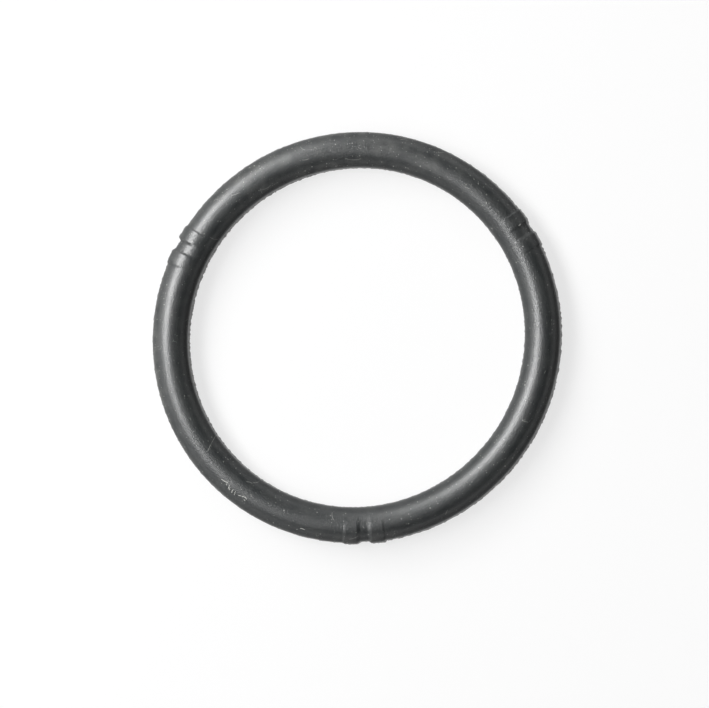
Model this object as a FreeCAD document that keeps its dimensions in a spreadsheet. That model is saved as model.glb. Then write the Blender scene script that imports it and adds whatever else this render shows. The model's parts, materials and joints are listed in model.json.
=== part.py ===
import FreeCAD
import Part
import Sketcher

import os

# Sealing ring for a press fitting, moulded in one piece of black rubber.
#
# The ring lies flat. Its origin is the centre of the ring on the plane where the two halves of
# the mould met, and +Z is the axis of the pipe that goes through it. Lengths are millimetres.
#
# The section is round, with a low straight land inside and outside, where the flash at the
# mould's parting line was trimmed off. Evenly round the outside stand sets of two raised pads
# with a notch between them. Until the fitting is pressed, the notches let water pass.

# Driving dimensions: name, size, what it is.
SIZES = (
    ("bore_diameter", 28.2, "inside diameter, across the inner land"),
    ("section_diameter", 3.0, "thickness of the round section"),
    ("parting_land", 0.2, "height of each trimmed land"),
    ("pad_height", 0.1, "how far a pad stands out of the plain ring"),
    ("pad_length", 1.25, "length of one pad round the outside"),
    ("pad_wrap", 105, "degrees round the section from straight out to the end of a pad"),
    ("notch_width", 1.0, "width of the notch between two pads, round the outside"),
    ("notch_depth", 0.08, "depth of the notch's floor below the plain ring"),
    ("notch_wrap", 112, "degrees round the section from straight out to the end of a notch"),
    ("pad_sets", 3, "sets of two pads and a notch"),
    ("first_set_angle", -90, "degrees from +X to the middle of the first set"),
)

# Lengths that follow from the driving dimensions, as expressions on the sheet. The notch's cut
# starts twice as far out as the pads stand, so that it takes them off whole.
SECTION_RADIUS = "(sizes.section_diameter / 2)"
LAND_OFFSET = f"sqrt({SECTION_RADIUS}^2 - (sizes.parting_land / 2)^2)"
RING_RADIUS = f"(sizes.bore_diameter / 2 + {LAND_OFFSET})"
OUTSIDE_RADIUS = f"({RING_RADIUS} + {SECTION_RADIUS})"
CUT_RADIUS = f"({SECTION_RADIUS} + 2 * sizes.pad_height)"


def make_sheet(doc):
    """The sheet of driving dimensions, one named cell each."""
    sheet = doc.addObject("Spreadsheet::Sheet", "sizes")
    for row, (name, size, meaning) in enumerate(SIZES, start=1):
        sheet.set(f"A{row}", name)
        sheet.set(f"B{row}", str(size))
        sheet.set(f"C{row}", meaning)
        sheet.setAlias(f"B{row}", name)
    doc.recompute()
    return sheet


def origin_feature(body, role):
    """One of the body's own origin planes or axes."""
    return next(f for f in body.Origin.OriginFeatures if f.Role == role)


def section_sketch(body, name):
    """An empty sketch on the upright plane through the axis: x runs outwards, y runs up."""
    sketch = body.newObject("Sketcher::SketchObject", name)
    sketch.AttachmentSupport = [(origin_feature(body, "XZ_Plane"), "")]
    sketch.MapMode = "FlatFace"
    return sketch


def drive(sketch, label, expression, kind, *points):
    """Adds a named dimension to a sketch at its size now, and ties it to the sheet."""
    size = float(sketch.evalExpression(expression))
    index = sketch.addConstraint(Sketcher.Constraint(kind, *points, size))
    sketch.renameConstraint(index, label)
    sketch.setExpression(f"Constraints.{label}", expression)


def draw_circle(sketch, label, centre, radius):
    """A circle centred on the parting plane, with its centre and radius tied to the sheet."""
    middle = FreeCAD.Vector(float(sketch.evalExpression(centre)), 0, 0)
    round_edge = Part.Circle(middle, FreeCAD.Vector(0, 0, 1), float(sketch.evalExpression(radius)))
    circle = sketch.addGeometry(round_edge, False)
    sketch.addConstraint(Sketcher.Constraint("PointOnObject", circle, 3, -1))
    drive(sketch, f"{label}_centre", centre, "DistanceX", -1, 1, circle, 3)
    drive(sketch, f"{label}_radius", radius, "Radius", circle)


def shifted_circle(height, wrap):
    """Centre and radius of the circle that is higher than the plain section by height, straight
    outwards, and runs out into it at the angle wrap on both sides."""
    peak = f"({SECTION_RADIUS} + {height})"
    shift = (
        f"(({peak}^2 - {SECTION_RADIUS}^2)"
        f" / (2 * ({peak} - {SECTION_RADIUS} * cos({wrap} * 1 deg))))"
    )
    return f"{RING_RADIUS} + {shift}", f"{peak} - {shift}"


def around(length):
    """Angle that a length takes up round the outside of the plain ring, in degrees."""
    return f"180 * ({length}) / (pi * {OUTSIDE_RADIUS})"


def add_plain_ring(body, sheet):
    """The plain ring: a round section with its two trimmed lands, turned once round the axis."""
    sketch = section_sketch(body, "ring_section")
    section = sheet.section_diameter / 2
    half_land = sheet.parting_land / 2
    reach = (section**2 - half_land**2) ** 0.5
    inner = sheet.bore_diameter / 2
    middle = FreeCAD.Vector(inner + reach, 0, 0)
    outer = inner + 2 * reach

    def point(x, y):
        return FreeCAD.Vector(x, y, 0)

    top = Part.Arc(point(outer, half_land), middle + point(0, section), point(inner, half_land))
    inside = Part.LineSegment(point(inner, half_land), point(inner, -half_land))
    bottom = Part.Arc(point(inner, -half_land), middle - point(0, section), point(outer, -half_land))
    outside = Part.LineSegment(point(outer, -half_land), point(outer, half_land))
    top, inside, bottom, outside = sketch.addGeometry([top, inside, bottom, outside], False)

    # Sketcher runs both arcs counter-clockwise: the top one from outside to inside.
    constrain = Sketcher.Constraint
    sketch.addConstraint([
        constrain("Coincident", top, 2, inside, 1),
        constrain("Coincident", inside, 2, bottom, 1),
        constrain("Coincident", bottom, 2, outside, 1),
        constrain("Coincident", outside, 2, top, 1),
        constrain("Coincident", top, 3, bottom, 3),
        constrain("PointOnObject", top, 3, -1),
        constrain("Equal", top, bottom),
        constrain("Equal", inside, outside),
        constrain("Vertical", inside),
        constrain("Vertical", outside),
    ])
    drive(sketch, "bore_radius", "sizes.bore_diameter / 2", "DistanceX", -1, 1, inside, 1)
    drive(sketch, "section_radius", SECTION_RADIUS, "Radius", top)
    drive(sketch, "land_height", "sizes.parting_land", "DistanceY", inside, 2, inside, 1)

    ring = body.newObject("PartDesign::Revolution", "plain_ring")
    ring.Profile = sketch
    ring.ReferenceAxis = (sketch, ["V_Axis"])
    ring.Angle = 360
    return ring


def add_pads(body):
    """A raised band over the length of one set, which the notch then parts into two pads."""
    sketch = section_sketch(body, "pad_section")
    draw_circle(sketch, "pad", *shifted_circle("sizes.pad_height", "sizes.pad_wrap"))
    pads = body.newObject("PartDesign::Revolution", "pads")
    pads.Profile = sketch
    pads.ReferenceAxis = (sketch, ["V_Axis"])
    pads.Midplane = True
    pads.setExpression("Angle", around("sizes.notch_width + 2 * sizes.pad_length"))
    return pads


def add_notch(body):
    """The notch in the middle of the band: all that lies outside the notch's floor is cut off."""
    sketch = section_sketch(body, "notch_section")
    draw_circle(sketch, "floor", *shifted_circle("-sizes.notch_depth", "sizes.notch_wrap"))
    draw_circle(sketch, "cut", RING_RADIUS, CUT_RADIUS)
    notch = body.newObject("PartDesign::Groove", "notch")
    notch.Profile = sketch
    notch.ReferenceAxis = (sketch, ["V_Axis"])
    notch.Midplane = True
    notch.setExpression("Angle", around("sizes.notch_width"))
    return notch


def repeat_sets(body, features):
    """The sets of pads and notch, evenly round the ring."""
    sets = body.newObject("PartDesign::PolarPattern", "pad_and_notch_sets")
    sets.Originals = features
    sets.Axis = (origin_feature(body, "Z_Axis"), [""])
    sets.Angle = 360
    sets.setExpression("Occurrences", "sizes.pad_sets")
    body.Tip = sets
    return sets


def build_sealing_ring(doc, sheet):
    """The whole ring. Each step has to change the volume the way that it should."""
    body = doc.addObject("PartDesign::Body", "sealing_ring")
    body.Label = "sealing_ring"
    ring = add_plain_ring(body, sheet)
    doc.recompute()
    pads = add_pads(body)
    doc.recompute()
    notch = add_notch(body)
    doc.recompute()
    sets = repeat_sets(body, [pads, notch])
    doc.recompute()
    turn = FreeCAD.Rotation(FreeCAD.Vector(0, 0, 1), sheet.first_set_angle)
    body.Placement = FreeCAD.Placement(FreeCAD.Vector(0, 0, 0), turn)
    doc.recompute()

    plain, with_pads, with_notch = (f.Shape.Volume for f in (ring, pads, notch))
    if with_pads <= plain or with_notch >= with_pads:
        raise ValueError("the pads add nothing or the notch cuts nothing")
    for feature in (ring, pads, notch, sets):
        print(f"{feature.Name}: {feature.Shape.Volume:.3f} mm3")
    return body


def check_document(doc, bodies):
    """Stops on any failed object and on any piece that isn't one valid solid."""
    for thing in doc.Objects:
        if "Invalid" in thing.State or "Error" in thing.State:
            raise ValueError(f"{thing.Name} failed: {thing.State}")
    for body in bodies:
        shape = body.Shape
        if shape.isNull() or not shape.isValid() or len(shape.Solids) != 1:
            raise ValueError(f"{body.Label} isn't one valid solid")


document = FreeCAD.newDocument("sealing_ring")
sizes = make_sheet(document)
parts = [build_sealing_ring(document, sizes)]
check_document(document, parts)
os.makedirs("parts", exist_ok=True)
for part in parts:
    part.Shape.exportStep(f"parts/{part.Label}.step")
    box = part.Shape.BoundBox
    print(f"{part.Label}: {box.XLength:.3f} x {box.YLength:.3f} x {box.ZLength:.3f} mm")
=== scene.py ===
import json
import math

import bmesh
import bpy
from mathutils import Matrix, Vector, noise


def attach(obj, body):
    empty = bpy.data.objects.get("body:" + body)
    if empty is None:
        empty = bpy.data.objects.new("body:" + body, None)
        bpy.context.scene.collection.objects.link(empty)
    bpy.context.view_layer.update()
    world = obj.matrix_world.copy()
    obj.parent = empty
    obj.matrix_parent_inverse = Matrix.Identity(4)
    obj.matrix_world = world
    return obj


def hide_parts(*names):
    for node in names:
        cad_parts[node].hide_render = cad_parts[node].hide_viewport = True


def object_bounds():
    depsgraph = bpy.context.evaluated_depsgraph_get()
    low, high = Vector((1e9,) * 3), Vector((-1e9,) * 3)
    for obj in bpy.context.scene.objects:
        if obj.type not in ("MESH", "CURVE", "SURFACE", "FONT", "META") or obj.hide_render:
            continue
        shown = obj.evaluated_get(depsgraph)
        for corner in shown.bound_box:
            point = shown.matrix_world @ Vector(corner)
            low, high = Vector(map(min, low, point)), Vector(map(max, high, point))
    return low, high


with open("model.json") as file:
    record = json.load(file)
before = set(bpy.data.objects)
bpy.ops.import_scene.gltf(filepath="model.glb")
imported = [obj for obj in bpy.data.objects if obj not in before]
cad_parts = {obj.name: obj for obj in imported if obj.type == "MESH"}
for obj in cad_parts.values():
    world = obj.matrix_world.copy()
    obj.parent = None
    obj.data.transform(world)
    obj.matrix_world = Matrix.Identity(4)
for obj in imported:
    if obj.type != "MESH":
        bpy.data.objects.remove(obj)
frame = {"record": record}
cad_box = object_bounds()


# Sealing ring. One moulding of black EPDM rubber, cured in a steel mould of two halves and tumbled
# free of its flash. The lower half sat a little off the upper one, which left a thin ragged ledge at
# the seam. Three sets of pads with a notch between them stand on the outside.
MM = 0.001
mount_sizes = {mount["name"]: mount["dims"] for mount in frame["record"]["mounts"]}
INNER_RADIUS = mount_sizes["pipe_bore"]["r_mm"] * MM
OUTER_RADIUS = mount_sizes["outer_seat"]["r_mm"] * MM
SECTION_RADIUS = (OUTER_RADIUS - INNER_RADIUS) / 2
RING_RADIUS = (OUTER_RADIUS + INNER_RADIUS) / 2

# Pads and notches, by degrees round the ring. Each notch came out of the mould a little deeper or
# shallower. Its slope is how much deeper its floor gets for each length along the ring.
NOTCH_DEPTHS = {30: 0.06 * MM, 150: 0.12 * MM, 270: 0.10 * MM}
NOTCH_SLOPES = {30: -0.04, 150: -0.10, 270: 0.03}
NOTCH_WIDTH = 1.0 * MM
NOTCH_WRAP = math.radians(112)
PAD_LENGTH = 1.25 * MM
PAD_HEIGHT = 0.1 * MM
PAD_WRAP = math.radians(105)
PAD_EDGE_SOFTNESS = 0.24 * MM
NOTCH_EDGE_SOFTNESS = 0.384 * MM
SOFTNESS_SPREAD = 0.7
SOFTNESS_GRAIN = 1.0 * MM
EDGE_WANDER = 0.08 * MM
EDGE_WANDER_GRAIN = 0.5 * MM
SET_UNEVENNESS = 0.01 * MM
SET_UNEVENNESS_GRAIN = 0.4 * MM

# The ledge at the seam, what is left of the flash on it, the smooth strip along it, where it shines
# least as a share of where it shines most, and the slow unevenness of the skin. The strip also
# carries a painted highlight: its torn edge is painted pale, most where the ledge sticks out most.
MOULD_SHIFT = 0.13 * MM
MOULD_SHIFT_TOWARDS = math.radians(340)
LEDGE_DROP = 0.2 * MM
FLASH_HEIGHT = 0.054 * MM
FLASH_DROP = 0.08 * MM
FLASH_GRAIN = 0.3 * MM
FLASH_FINE_GRAIN = 0.12 * MM
SEAM_STRIP = 0.13 * MM
SEAM_LEAST_SHINE = 0.3
SKIN_WAVE = 1.6 * MM
SKIN_WAVE_HEIGHT = 0.006 * MM

# Soft rubber keeps a little of the oval that it was packed in.
OVAL = 0.165 * MM
OVAL_LONG_AXIS = math.radians(53.6)

# Where dust has settled: degrees round the ring, degrees round the section from straight outwards,
# how far it spreads each way, and how thickly it lies. Thin dust lies everywhere.
DUSTY_PLACES = (
    (185, 28, 14, 14, 1.0),
    (87, 22, 10, 12, 0.9),
    (72, 75, 16, 40, 0.5),
    (100, 145, 12, 18, 0.8),
    (123, 125, 8, 20, 0.7),
    (266, 25, 14, 22, 0.9),
    (328, 40, 26, 14, 0.4),
    (30, 50, 4, 25, 0.5),
    (114, 60, 16, 25, 0.5),
    (145, 30, 25, 25, 0.4),
    (205, 15, 25, 15, 0.5),
)
THIN_DUST = 0.25

# Steps round the ring, cuts in each of them, steps round the section, how strongly the steps crowd
# towards the sets and towards the seam, and how near to each other two places count as level.
RING_STEPS = 300
RING_CUTS = 3
SECTION_STEPS = 72
SET_CROWDING = 0.55
SEAM_CROWDING = 0.75
SAME_PLACE = 1e-7


def smooth_step(low, high, value):
    """Rises softly from 0 at low to 1 at high."""
    share = min(max((value - low) / (high - low), 0), 1)
    return share * share * (3 - 2 * share)


def shifted_circle(height, wrap):
    """Shift and radius of the circle that stands height above the plain section, straight
    outwards, and runs out into it at the angle wrap."""
    peak = SECTION_RADIUS + height
    shift = (peak**2 - SECTION_RADIUS**2) / (2 * (peak - SECTION_RADIUS * math.cos(wrap)))
    return shift, peak - shift


def rise(circle, section_angle):
    """How far a shifted circle stands above the plain section at an angle round it."""
    shift, radius = circle
    across = shift * math.sin(section_angle)
    return shift * math.cos(section_angle) + math.sqrt(radius**2 - across**2) - SECTION_RADIUS


PAD_CIRCLE = shifted_circle(PAD_HEIGHT, PAD_WRAP)
NOTCH_CIRCLES = {angle: shifted_circle(-depth, NOTCH_WRAP) for angle, depth in NOTCH_DEPTHS.items()}


def set_relief(ring_angle, section_angle):
    """Height of the pads, and depth of the notch, of the nearest set."""
    nearest = min(NOTCH_CIRCLES, key=lambda a: -math.cos(ring_angle - math.radians(a)))
    off_middle = (ring_angle - math.radians(nearest) + math.pi) % math.tau - math.pi
    outwards = max(math.cos(section_angle), 0)
    on_skin = Vector((ring_angle * RING_RADIUS, section_angle * SECTION_RADIUS, 0))
    wander = EDGE_WANDER * noise.noise(on_skin / EDGE_WANDER_GRAIN)
    along = abs(off_middle * OUTER_RADIUS + wander)

    half_softness = (1 + SOFTNESS_SPREAD * noise.noise(on_skin / SOFTNESS_GRAIN)) / 2
    notch_soft = NOTCH_EDGE_SOFTNESS * half_softness
    pad_soft = PAD_EDGE_SOFTNESS * half_softness
    notch_end = NOTCH_WIDTH / 2
    pad_end = notch_end + PAD_LENGTH
    in_notch = 1 - smooth_step(notch_end - notch_soft, notch_end + notch_soft, along)
    in_set = 1 - smooth_step(pad_end - pad_soft, pad_end + pad_soft, along)

    pad = max(rise(PAD_CIRCLE, section_angle), 0)
    notch = min(rise(NOTCH_CIRCLES[nearest], section_angle), 0)
    fall = NOTCH_SLOPES[nearest] * outwards**2 * off_middle * OUTER_RADIUS
    notch *= 1 + fall / NOTCH_DEPTHS[nearest]
    uneven = SET_UNEVENNESS * outwards * noise.noise(on_skin / SET_UNEVENNESS_GRAIN)
    return pad * (in_set - in_notch) + notch * in_notch + uneven * in_set


def ledge_side(ring_angle, section_angle):
    """1 where the lower half of the mould stuck out most, -1 where the upper half did."""
    return math.copysign(1, math.cos(section_angle)) * math.cos(ring_angle - MOULD_SHIFT_TOWARDS)


def flash_relief(ring_angle, section_angle):
    """Height of the ragged flash that is left along the edge that stuck out at the seam. That edge
    is the ledge's lower end where the lower half stuck out, and its upper end across the ring."""
    side = math.copysign(1, math.cos(section_angle))
    on_ring = Vector((math.cos(ring_angle), math.sin(ring_angle), side)) * RING_RADIUS
    facing = ledge_side(ring_angle, section_angle)
    off_edge = SECTION_RADIUS * math.sin(section_angle) + LEDGE_DROP * (1 + facing) / 2
    flakes = smooth_step(-0.1, 0.2, noise.noise(on_ring / FLASH_GRAIN))
    ragged = flakes + noise.noise(on_ring / FLASH_FINE_GRAIN)
    height = FLASH_HEIGHT * ragged * (1 + max(facing, 0)) / 2
    return height * math.exp(-((off_edge / FLASH_DROP) ** 2))


def seam_strip(ring_angle, section_angle, height):
    """1 on the smooth strip along the seam where the ledge is widest, fading to 0 beside it. It also
    sets where the torn edge is painted pale, as a painted highlight along the rim.
    """
    off_ledge = (height + LEDGE_DROP / 2) / SEAM_STRIP
    facing = max(ledge_side(ring_angle, section_angle), 0)
    return math.exp(-(off_ledge**4)) * (SEAM_LEAST_SHINE + (1 - SEAM_LEAST_SHINE) * facing)


def dust_at(ring_angle, section_angle):
    """How thickly dust lies at a place on the skin, from 0 to 1."""
    dust = THIN_DUST
    for at_ring, at_section, ring_spread, section_spread, amount in DUSTY_PLACES:
        off_ring = ((math.degrees(ring_angle) - at_ring + 180) % 360 - 180) / ring_spread
        off_section = (math.degrees(section_angle) - at_section) / section_spread
        dust += amount * math.exp(-(off_ring**2) - off_section**2)
    return min(dust, 1)


def make_ring_mesh():
    """A round section, spun once round the axis, then pressed into pads, notches and seam."""
    shape = bmesh.new()
    bmesh.ops.create_circle(shape, segments=SECTION_STEPS, radius=SECTION_RADIUS)
    for vert in shape.verts:
        angle = math.atan2(vert.co.y, vert.co.x)
        crowded = angle - SEAM_CROWDING / 2 * math.sin(2 * angle)
        out, up = math.cos(crowded), math.sin(crowded)
        vert.co = Vector((RING_RADIUS + SECTION_RADIUS * out, 0, SECTION_RADIUS * up))
    bmesh.ops.spin(
        shape, geom=shape.verts[:] + shape.edges[:], cent=(0, 0, 0), axis=(0, 0, 1),
        angle=math.tau, steps=RING_STEPS, use_merge=True,
    )
    along_ring = [
        edge for edge in shape.edges
        if abs(math.hypot(*edge.verts[0].co.xy) - math.hypot(*edge.verts[1].co.xy)) < SAME_PLACE
        and abs(edge.verts[0].co.z - edge.verts[1].co.z) < SAME_PLACE
    ]
    bmesh.ops.subdivide_edges(shape, edges=along_ring, cuts=RING_CUTS, use_grid_fill=True)

    surface = shape.verts.layers.float_vector.new("surface")
    dust = shape.verts.layers.float.new("dust")
    seam_strip_and_rim_highlight = shape.verts.layers.float.new("seam_strip_and_rim_highlight")
    sets, first_set = len(NOTCH_DEPTHS), math.radians(min(NOTCH_DEPTHS))
    for vert in shape.verts:
        even = math.atan2(vert.co.y, vert.co.x)
        ring_angle = even - SET_CROWDING / sets * math.sin(sets * (even - first_set))
        out = math.hypot(vert.co.x, vert.co.y) - RING_RADIUS
        section_angle = math.atan2(vert.co.z, out)
        wave = noise.noise(Vector((vert.co.x, vert.co.y, vert.co.z * 2)) / SKIN_WAVE)
        section = SECTION_RADIUS + set_relief(ring_angle, section_angle)
        section += flash_relief(ring_angle, section_angle) + SKIN_WAVE_HEIGHT * wave
        height = section * math.sin(section_angle)
        vert[surface] = (ring_angle, section_angle, 0)
        vert[dust] = dust_at(ring_angle, section_angle)
        vert[seam_strip_and_rim_highlight] = seam_strip(ring_angle, section_angle, height)

        oval = 2 * (ring_angle - OVAL_LONG_AXIS)
        turned = ring_angle - OVAL / 2 * math.sin(oval) / RING_RADIUS
        radius = RING_RADIUS + OVAL * math.cos(oval) + section * math.cos(section_angle)
        shift = MOULD_SHIFT * (0.5 - min(max(1 + height / LEDGE_DROP, 0), 1))
        vert.co = Vector((
            radius * math.cos(turned) + shift * math.cos(MOULD_SHIFT_TOWARDS),
            radius * math.sin(turned) + shift * math.sin(MOULD_SHIFT_TOWARDS),
            height,
        ))

    # The skin map unrolls the surface in millimetres: along the ring, and up round the section.
    skin_map = shape.loops.layers.uv.new("skin_mm")
    for face in shape.faces:
        face.smooth = True
        first = face.loops[0].vert[surface]
        for loop in face.loops:
            at = [
                start + (angle - start + math.pi) % math.tau - math.pi
                for start, angle in zip(first[:2], loop.vert[surface][:2])
            ]
            loop[skin_map].uv = (at[0] * RING_RADIUS / MM, at[1] * SECTION_RADIUS / MM)
    bmesh.ops.recalc_face_normals(shape, faces=shape.faces)

    mesh = bpy.data.meshes.new("sealing_ring_skin")
    shape.to_mesh(mesh)
    shape.free()
    return mesh


ring = bpy.data.objects.new("sealing_ring_skin", make_ring_mesh())
bpy.context.collection.objects.link(ring)


def linear(hex_colour):
    """An sRGB hex colour as linear red, green, blue and alpha."""
    channels = [int(hex_colour[i:i + 2], 16) / 255 for i in (1, 3, 5)]
    return (*(c / 12.92 if c <= 0.04045 else ((c + 0.055) / 1.055) ** 2.4 for c in channels), 1.0)


def add_node(tree, kind, settings, inputs):
    """Adds a node with its settings. Each input is a value, a socket to link from, or a node, whose
    first output is linked."""
    node = tree.nodes.new(kind)
    for name, value in settings.items():
        setattr(node, name, value)
    for socket, value in inputs.items():
        source = value.outputs[0] if isinstance(value, bpy.types.Node) else value
        if isinstance(source, bpy.types.NodeSocket):
            tree.links.new(source, node.inputs[socket])
        else:
            node.inputs[socket].default_value = source
    return node


# EPDM rubber filled with carbon black: nearly black and very slightly cool, with a satin skin that
# spreads a highlight wide. Its skin is denser than the bulk and shines a little more than its index
# of 1.5 gives. Dust, lint and light scuffs lie on it as pale matt flecks.
RUBBER_DARK = "#1a1e1f"
RUBBER_LIGHT = "#222627"
# Pale grey of the torn edge at the seam. It is partly torn rubber and partly a painted highlight along the
# rim.
TORN_EDGE_AND_RIM_HIGHLIGHT = "#b4b6b2"
DUST_COLOUR = "#b9b9b4"
SKIN_IOR = 1.9

# Roughness on the crown, how much more there is on the flanks, in the strip along the seam, and of
# the dust. The patches and streaks in the skin make it a little rougher.
CROWN_ROUGHNESS = 0.335
FLANK_ROUGHNESS = 0.55
STRIP_ROUGHNESS = 0.12
DUST_ROUGHNESS = 0.9
PATCH_ROUGHNESS = 0.05
STREAK_ROUGHNESS = 0.03

# Dust. Each size of speck has the size of its cells in millimetres, its smallest radius and how much
# larger the largest one is as shares of a cell, the share of cells that hold one where dust lies
# thickest, and how pale it is. A speck fades out over one part in SPECK_EDGE of a cell. The film and
# the haze of finest dust are given as shares.
SPECKS = ((0.32, 0.09, 0.12, 0.5, 1.0), (0.20, 0.13, 0.12, 0.9, 0.8))
SPECK_EDGE = 14.0
FILM = 0.4
HAZE = 0.12

# Short fibres of lint, strewn at random: one to a cell at most. Lengths are millimetres.
FIBRE_CELL = 1.4
FIBRE_HALF_WIDTH = 0.015
FIBRE_HALF_LENGTHS = (0.06, 0.26)
FIBRE_BEND = 2.0
FIBRE_PALENESS = 0.4

# Grain that the ground steel of the mould left, in millimetres.
GRAIN_SIZE = 0.12
GRAIN_HEIGHT = 0.026

# Lint and scuffs that catch the eye: degrees round the ring, degrees round the section from
# straight outwards, length in millimetres, direction in degrees from along the ring, and bend.
SCUFFS = (
    (225, 71, 0.7, 14, 0), (226, 67, 0.2, -62, 0), (227, 65, 0.4, -78, 0.3), (227.5, 62, 0.3, -70, 0),
    (228.5, 62, 0.4, -80, 0.3), (229.5, 62, 0.4, -72, 0), (231, 65, 0.3, 18, 0), (232, 70, 0.3, 50, 0.5),
    (233, 62, 0.2, -20, 0), (233, 71, 0.3, -32, 0), (252, 56, 0.4, -6, -1), (32, 59, 0.3, -79, 0),
)
HAIRS = (
    (213, 132, 2.3, -69, 0.1), (231, 121, 0.6, 20, -0.7), (233, 136, 0.7, 54, 0.6),
    (260, 117, 0.8, -73, 0.6), (295, 55, 0.5, -135, 0.4), (331, 79, 0.5, -76, 0),
    (347, 72, 0.3, 154, 1), (27, 114, 0.5, -98, 1.5), (51, 101, 0.5, -168, 0.4), (52, 96, 0.3, -104, 0),
    (63, 36, 0.6, -133, 0), (74, 28, 0.9, -132, 0.5), (143, 133, 1.0, 108, 0.4), (104, 97, 0.6, 173, 0.6),
    (104, 58, 0.6, 120, 1), (119, 131, 1.0, 174, 0.6), (121, 129, 0.6, 79, 0.6), (128, 84, 0.8, 158, 0.2),
    (89, 125, 1.4, 176, 0.3), (267, 47, 0.8, 25, 0.2),
)

# Each kind of mark with its half width in millimetres and how pale it is.
MARKS = ((SCUFFS, 0.025, 1.0), (HAIRS, 0.018, 0.45))

# What the Math nodes do.
MATH = "ShaderNodeMath"
ADD = {"operation": "ADD"}
SUBTRACT = {"operation": "SUBTRACT"}
MULTIPLY = {"operation": "MULTIPLY"}
MULTIPLY_ADD = {"operation": "MULTIPLY_ADD"}
MAXIMUM = {"operation": "MAXIMUM"}
ABSOLUTE = {"operation": "ABSOLUTE"}
LESS_THAN = {"operation": "LESS_THAN"}
CLAMPED = {"use_clamp": True}


def make_fleck_group():
    """A node group that gives 1 on one thin fleck of the skin map, fading to 0 beside it."""
    group = bpy.data.node_groups.new("fleck", "ShaderNodeTree")
    for name, kind in (
        ("Skin", "NodeSocketVector"), ("Middle", "NodeSocketVector"), ("Turn", "NodeSocketFloat"),
        ("Half Length", "NodeSocketFloat"), ("Half Width", "NodeSocketFloat"), ("Bend", "NodeSocketFloat"),
    ):
        group.interface.new_socket(name, in_out="INPUT", socket_type=kind)
    group.interface.new_socket("Fleck", in_out="OUTPUT", socket_type="NodeSocketFloat")
    given = add_node(group, "NodeGroupInput", {}, {}).outputs
    turned = add_node(
        group, "ShaderNodeVectorRotate", {"rotation_type": "Z_AXIS", "invert": True},
        {"Vector": given["Skin"], "Center": given["Middle"], "Angle": given["Turn"]},
    )
    off = add_node(group, "ShaderNodeVectorMath", SUBTRACT, {0: turned, 1: given["Middle"]})
    off = add_node(group, "ShaderNodeSeparateXYZ", {}, {"Vector": off}).outputs

    # A bent fleck bows away from its own line by the square of the way along it. Its sides fade
    # between half a half width and one and a half, and its ends over a twentieth of a millimetre.
    bow = add_node(group, MATH, MULTIPLY, {0: off["X"], 1: off["X"]})
    bow = add_node(group, MATH, MULTIPLY, {0: bow, 1: given["Bend"]})
    across = add_node(group, MATH, SUBTRACT, {0: off["Y"], 1: bow})
    across = add_node(group, MATH, ABSOLUTE, {0: across})
    across = add_node(group, MATH, {"operation": "DIVIDE"}, {0: across, 1: given["Half Width"]})
    beside = add_node(group, MATH, SUBTRACT | CLAMPED, {0: 1.5, 1: across})
    past = add_node(group, MATH, ABSOLUTE, {0: off["X"]})
    past = add_node(group, MATH, SUBTRACT, {0: given["Half Length"], 1: past})
    within = add_node(group, MATH, MULTIPLY | CLAMPED, {0: past, 1: 20.0})
    fleck = add_node(group, MATH, MULTIPLY, {0: beside, 1: within})
    add_node(group, "NodeGroupOutput", {}, {"Fleck": fleck})
    return group


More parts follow.
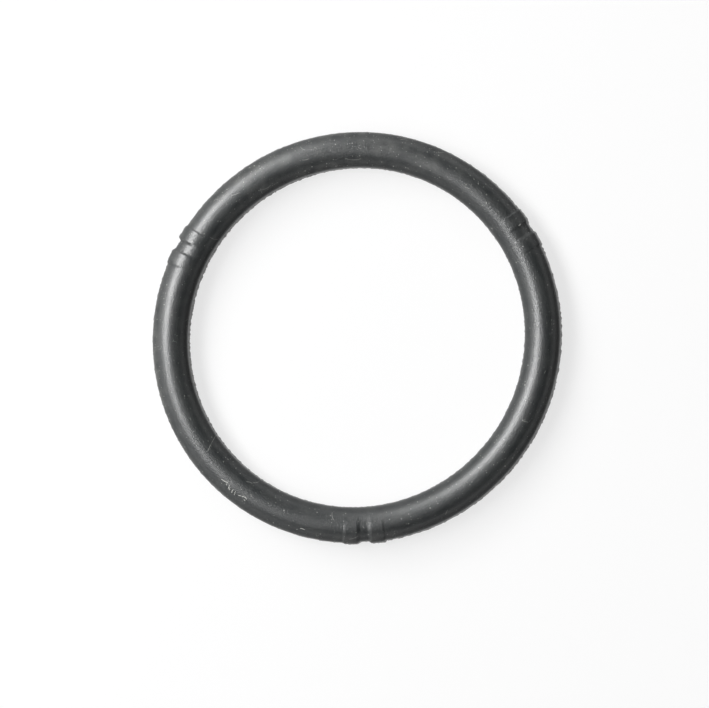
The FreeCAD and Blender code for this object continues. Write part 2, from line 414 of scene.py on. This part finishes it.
def make_rubber():
    """The ring's skin, with its grain and the dust, lint and scuffs on it."""
    material = bpy.data.materials.new("epdm_rubber_moulded")
    material.use_nodes = True
    tree = material.node_tree
    tree.nodes.clear()
    place = add_node(tree, "ShaderNodeTexCoord", {}, {}).outputs["Object"]
    skin_mm = add_node(tree, "ShaderNodeUVMap", {"uv_map": "skin_mm"}, {}).outputs["UV"]
    dust = add_node(tree, "ShaderNodeAttribute", {"attribute_name": "dust"}, {}).outputs["Fac"]
    seam_strip_and_rim_highlight = add_node(tree, "ShaderNodeAttribute", {"attribute_name": "seam_strip_and_rim_highlight"}, {}).outputs["Fac"]

    # Blotches in the film of dust, the haze, patches in the rubber, the ragged pattern of its torn edge,
    # which is painted pale partly as a painted highlight along the rim, and the grain of the mould's
    # ground steel. That grain is finer than a tenth of a millimetre, and is drawn about twice as coarse,
    # because finer grain wouldn't show. Sizes are millimetres.
    blotches, haze, patches, torn_edge_and_highlight_pattern, grain = (
        add_node(
            tree, "ShaderNodeTexNoise", {},
            {"Vector": place, "Scale": 1 / (size * MM), "Detail": detail},
        ).outputs["Fac"]
        for size, detail in ((0.9, 4.0), (0.16, 3.0), (2.5, 4.0), (0.25, 2.0), (GRAIN_SIZE, 2.0))
    )

    # Specks of dust: a few coarse ones, and many fine ones where dust lies thick.
    pale = 0.0
    for cell, smallest, spread, density, paleness in SPECKS:
        cells = add_node(
            tree, "ShaderNodeTexVoronoi", {"voronoi_dimensions": "3D"},
            {"Vector": place, "Scale": 1 / (cell * MM)},
        ).outputs
        chance = add_node(tree, "ShaderNodeSeparateColor", {}, {"Color": cells["Color"]}).outputs
        size = add_node(tree, MATH, MULTIPLY_ADD, {0: chance["Green"], 1: spread, 2: smallest})
        speck = add_node(tree, MATH, SUBTRACT, {0: size, 1: cells["Distance"]})
        speck = add_node(tree, MATH, MULTIPLY | CLAMPED, {0: speck, 1: SPECK_EDGE})
        share_held = add_node(tree, MATH, MULTIPLY, {0: dust, 1: density})
        held = add_node(tree, MATH, LESS_THAN, {0: chance["Red"], 1: share_held})
        uneven_paleness = add_node(tree, MATH, MULTIPLY_ADD, {0: chance["Blue"], 1: 0.7, 2: 0.3})
        for factor in (held, uneven_paleness, paleness):
            speck = add_node(tree, MATH, MULTIPLY, {0: speck, 1: factor})
        pale = add_node(tree, MATH, MAXIMUM, {0: speck, 1: pale})

    # Lint, with more fibres where dust lies thick.
    fleck = make_fleck_group()
    cells = add_node(
        tree, "ShaderNodeTexVoronoi", {"voronoi_dimensions": "2D"},
        {"Vector": skin_mm, "Scale": 1 / FIBRE_CELL},
    ).outputs
    chance = add_node(tree, "ShaderNodeSeparateColor", {}, {"Color": cells["Color"]}).outputs
    other_chance = add_node(
        tree, "ShaderNodeTexWhiteNoise", {"noise_dimensions": "2D"}, {"Vector": cells["Position"]},
    ).outputs["Value"]
    shortest, longest = FIBRE_HALF_LENGTHS
    turn = add_node(tree, MATH, MULTIPLY, {0: chance["Red"], 1: math.tau})
    half_length = add_node(
        tree, MATH, MULTIPLY_ADD, {0: chance["Green"], 1: longest - shortest, 2: shortest},
    )
    bend = add_node(
        tree, MATH, MULTIPLY_ADD, {0: chance["Blue"], 1: 2 * FIBRE_BEND, 2: -FIBRE_BEND},
    )
    fibres = add_node(
        tree, "ShaderNodeGroup", {"node_tree": fleck},
        {
            "Skin": skin_mm,
            "Middle": cells["Position"],
            "Turn": turn,
            "Half Length": half_length,
            "Half Width": FIBRE_HALF_WIDTH,
            "Bend": bend,
        },
    )
    share_held = add_node(tree, MATH, MULTIPLY_ADD, {0: dust, 1: 0.35, 2: 0.04})
    held = add_node(tree, MATH, LESS_THAN, {0: other_chance, 1: share_held})
    for factor in (held, FIBRE_PALENESS):
        fibres = add_node(tree, MATH, MULTIPLY, {0: fibres, 1: factor})
    pale = add_node(tree, MATH, MAXIMUM, {0: pale, 1: fibres})

    # The scuffs and hairs, each at its own place on the skin map.
    for marks, half_width, paleness in MARKS:
        for at_ring, at_section, length, turn, bend in marks:
            along = math.radians((at_ring + 180) % 360 - 180) * RING_RADIUS / MM
            up = math.radians(at_section) * SECTION_RADIUS / MM
            mark = add_node(
                tree, "ShaderNodeGroup", {"node_tree": fleck},
                {
                    "Skin": skin_mm,
                    "Middle": (along, up, 0),
                    "Turn": math.radians(turn),
                    "Half Length": length / 2,
                    "Half Width": half_width,
                    "Bend": bend,
                },
            )
            mark = add_node(tree, MATH, MULTIPLY, {0: mark, 1: paleness})
            pale = add_node(tree, MATH, MAXIMUM, {0: pale, 1: mark})

    # A dull film in the dusty places, in blotches about a millimetre across, and a faint haze.
    film = add_node(tree, MATH, SUBTRACT | CLAMPED, {0: blotches, 1: 0.35})
    film = add_node(tree, MATH, MULTIPLY, {0: film, 1: dust})
    haze = add_node(tree, MATH, SUBTRACT | CLAMPED, {0: haze, 1: 0.5})
    haze = add_node(tree, MATH, MULTIPLY, {0: haze, 1: HAZE})
    film = add_node(tree, MATH, MULTIPLY_ADD, {0: film, 1: FILM, 2: haze})
    matt = add_node(tree, MATH, MAXIMUM, {0: pale, 1: film})

    # Pale torn edge along the seam strip: partly torn rubber, partly a painted highlight along the rim.
    torn_edge_and_rim_highlight = add_node(tree, MATH, MULTIPLY_ADD | CLAMPED, {0: torn_edge_and_highlight_pattern, 1: 2.5, 2: -0.5})
    torn_edge_and_rim_highlight = add_node(tree, MATH, MULTIPLY, {0: seam_strip_and_rim_highlight, 1: torn_edge_and_rim_highlight})
    colour = linear(RUBBER_DARK)
    for share, other in ((patches, RUBBER_LIGHT), (torn_edge_and_rim_highlight, TORN_EDGE_AND_RIM_HIGHLIGHT), (matt, DUST_COLOUR)):
        colour = add_node(
            tree, "ShaderNodeMix", {"data_type": "RGBA"},
            {"Factor": share, "A": colour, "B": linear(other)},
        ).outputs["Result"]

    # The mould was polished less towards the seam, so the skin is duller there. Along the seam
    # itself the flash was trimmed off, which left a narrow smooth strip. The distance from the seam
    # runs from 0 on it to 1 on the crown.
    up_section = add_node(tree, "ShaderNodeSeparateXYZ", {}, {"Vector": skin_mm}).outputs["Y"]
    off_seam = add_node(tree, MATH, MULTIPLY, {0: up_section, 1: MM / SECTION_RADIUS})
    off_seam = add_node(tree, MATH, {"operation": "SINE"}, {0: off_seam})
    off_seam = add_node(tree, MATH, ABSOLUTE, {0: off_seam})
    off_crown, off_strip = (
        add_node(
            tree, "ShaderNodeMapRange", {"interpolation_type": "SMOOTHSTEP"},
            {"Value": off_seam, "From Min": none_at, "From Max": full_at},
        ).outputs["Result"]
        for none_at, full_at in ((0.95, 0.60), (0.15, 0.55))
    )
    on_flank = add_node(tree, MATH, MULTIPLY, {0: off_crown, 1: off_strip})

    # Streaks, several times as long along the ring as they are wide.
    streaks = add_node(tree, "ShaderNodeMapping", {}, {"Vector": skin_mm, "Scale": (0.6, 4.0, 1.0)})
    streaks = add_node(
        tree, "ShaderNodeTexNoise", {"noise_dimensions": "2D"},
        {"Vector": streaks, "Scale": 1.0, "Detail": 2.0},
    ).outputs["Fac"]
    roughness = CROWN_ROUGHNESS
    for share, added in (
        (patches, PATCH_ROUGHNESS), (streaks, STREAK_ROUGHNESS), (on_flank, FLANK_ROUGHNESS),
    ):
        roughness = add_node(tree, MATH, MULTIPLY_ADD, {0: share, 1: added, 2: roughness})

    # The flash was squeezed thin between two polished edges, and is the shiniest part of the skin.
    dullness = add_node(tree, MATH, MULTIPLY, {0: dust, 1: 0.15})
    dullness = add_node(tree, MATH, MAXIMUM, {0: matt, 1: dullness})
    for share, other in ((seam_strip_and_rim_highlight, STRIP_ROUGHNESS), (dullness, DUST_ROUGHNESS)):
        roughness = add_node(
            tree, "ShaderNodeMix", {}, {"Factor": share, "A": roughness, "B": other},
        ).outputs["Result"]

    # The grain fades out beside the seam.
    grain_strength = add_node(tree, MATH, MULTIPLY_ADD | CLAMPED, {0: off_seam, 1: 2.0, 2: -0.2})
    bump = add_node(
        tree, "ShaderNodeBump", {},
        {"Strength": grain_strength, "Distance": GRAIN_HEIGHT * MM, "Height": grain},
    )
    skin = add_node(
        tree, "ShaderNodeBsdfPrincipled", {"distribution": "GGX"},
        {"Base Color": colour, "Roughness": roughness, "IOR": SKIN_IOR, "Normal": bump},
    )
    add_node(tree, "ShaderNodeOutputMaterial", {}, {"Surface": skin})
    return material


ring.data.materials.append(make_rubber())
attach(ring, "root")
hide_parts("sealing_ring")


# Table. A broad round sheet of matt white card, which the ring lies on. Its far edge slopes up into
# a low wall, so that the ground carries on past the ring in a low view too. Lengths are metres.
TABLE_RADIUS = 1.2
TABLE_WALL = 0.08
TABLE_SWEEP = 0.05
TABLE_STEPS = 96
TABLE_COLOUR = "#7c7c7c"
TABLE_LIFT = 0.74


def make_table():
    """The sheet's profile, spun once round: flat, then a slope, then upright."""
    shape = bmesh.new()
    flat_end = TABLE_RADIUS - TABLE_SWEEP
    points = ((0, 0), (flat_end, 0), (TABLE_RADIUS, TABLE_SWEEP), (TABLE_RADIUS, TABLE_WALL))
    corners = [shape.verts.new((out, 0, cad_box[0].z + up)) for out, up in points]
    profile = [shape.edges.new(pair) for pair in zip(corners, corners[1:])]
    bmesh.ops.spin(
        shape, geom=corners + profile, cent=(0, 0, 0), axis=(0, 0, 1),
        angle=math.tau, steps=TABLE_STEPS, use_merge=True,
    )
    bmesh.ops.remove_doubles(shape, verts=shape.verts, dist=1e-6)
    bmesh.ops.recalc_face_normals(shape, faces=shape.faces)
    mesh = bpy.data.meshes.new("table")
    shape.to_mesh(mesh)
    shape.free()
    table = bpy.data.objects.new("table", mesh)
    bpy.context.collection.objects.link(table)
    return table


def make_table_card():
    """Matt card with a shadow on it. What sees it straight or in a reflection gets it lifted to
    white, and the light that it throws back stays that of its own colour."""
    material = bpy.data.materials.new("white_card")
    material.use_nodes = True
    tree = material.node_tree
    tree.nodes.clear()
    card = add_node(tree, "ShaderNodeBsdfDiffuse", {}, {"Color": linear(TABLE_COLOUR)})
    path = add_node(tree, "ShaderNodeLightPath", {}, {}).outputs
    seen = add_node(tree, MATH, ADD, {0: path["Is Camera Ray"], 1: path["Is Glossy Ray"]})
    seen = add_node(tree, MATH, ADD | CLAMPED, {0: seen, 1: path["Is Transmission Ray"]})
    lift = add_node(tree, MATH, MULTIPLY, {0: seen, 1: TABLE_LIFT})
    glow = add_node(tree, "ShaderNodeEmission", {}, {"Strength": lift})
    both = add_node(tree, "ShaderNodeAddShader", {}, {0: card, 1: glow})
    add_node(tree, "ShaderNodeOutputMaterial", {}, {"Surface": both})
    return material


table = make_table()
table.data.materials.append(make_table_card())


# Light. A key light close above the ring, two soft boxes further off, a faint one overhead and a
# pale grey room.
ROOM_LEVEL = 0.035


def add_soft_box(name, azimuth, tilt, roll, distance, width, height, radiance):
    """A rectangular soft light that faces the ring, so many degrees round and from overhead,
    rolled about the line to the ring. Lengths are metres."""
    lamp = bpy.data.lights.new(name, "AREA")
    lamp.shape = "RECTANGLE"
    lamp.size, lamp.size_y = width, height
    lamp.energy = radiance * math.pi * width * height
    box = bpy.data.objects.new(name, lamp)
    box.visible_camera = False
    turn, lean = math.radians(azimuth), math.radians(tilt)
    towards = Vector((math.sin(lean) * math.cos(turn), math.sin(lean) * math.sin(turn), math.cos(lean)))
    box.location = towards * distance
    spin = Matrix.Rotation(math.radians(roll), 4, "Z")
    box.rotation_euler = (towards.to_track_quat("Z", "Y").to_matrix().to_4x4() @ spin).to_euler()
    bpy.context.collection.objects.link(box)


add_soft_box("key_soft_box", 152, 43.3, 46, 0.35, 0.315, 0.119, 15.8)
add_soft_box("top_soft_box", 110, 58, 0, 1.0, 0.5, 0.36, 3.8)
add_soft_box("left_soft_box", 215, 36, 0, 1.0, 0.5, 0.36, 3.3)
add_soft_box("overhead_soft_box", 0, 0, 0, 1.0, 0.5, 0.5, 0.3)

room = bpy.data.worlds.new("grey_room")
room.use_nodes = True
room.node_tree.nodes["Background"].inputs["Color"].default_value = (1, 1, 1, 1)
room.node_tree.nodes["Background"].inputs["Strength"].default_value = ROOM_LEVEL
bpy.context.scene.world = room


# Camera. It looks straight down through a long lens, a little turned, as in the photograph. It
# stands where a pixel covers PIXEL_SIZE and the ring's middle lies at RING_MIDDLE_PX.
PHOTO_WIDTH_PX = 709
PHOTO_MIDDLE_PX = (354.5, 354.0)
RING_MIDDLE_PX = (357.4, 337.7)
PIXEL_SIZE = 0.0835 * MM
LENS_MM = 300
CAMERA_TURN = math.radians(-2.42)

camera_data = bpy.data.cameras.new("camera")
camera_data.lens = LENS_MM
camera_data.clip_start = 0.01
camera = bpy.data.objects.new("camera", camera_data)
bpy.context.collection.objects.link(camera)
aim = Vector((
    (PHOTO_MIDDLE_PX[0] - RING_MIDDLE_PX[0]) * PIXEL_SIZE,
    (RING_MIDDLE_PX[1] - PHOTO_MIDDLE_PX[1]) * PIXEL_SIZE,
    PHOTO_WIDTH_PX * PIXEL_SIZE * LENS_MM / camera_data.sensor_width,
))
turn = Matrix.Rotation(CAMERA_TURN, 4, "Z")
camera.location = turn @ aim
camera.rotation_euler = turn.to_euler()
bpy.context.scene.camera = camera
bpy.context.scene.view_settings.view_transform = "Standard"
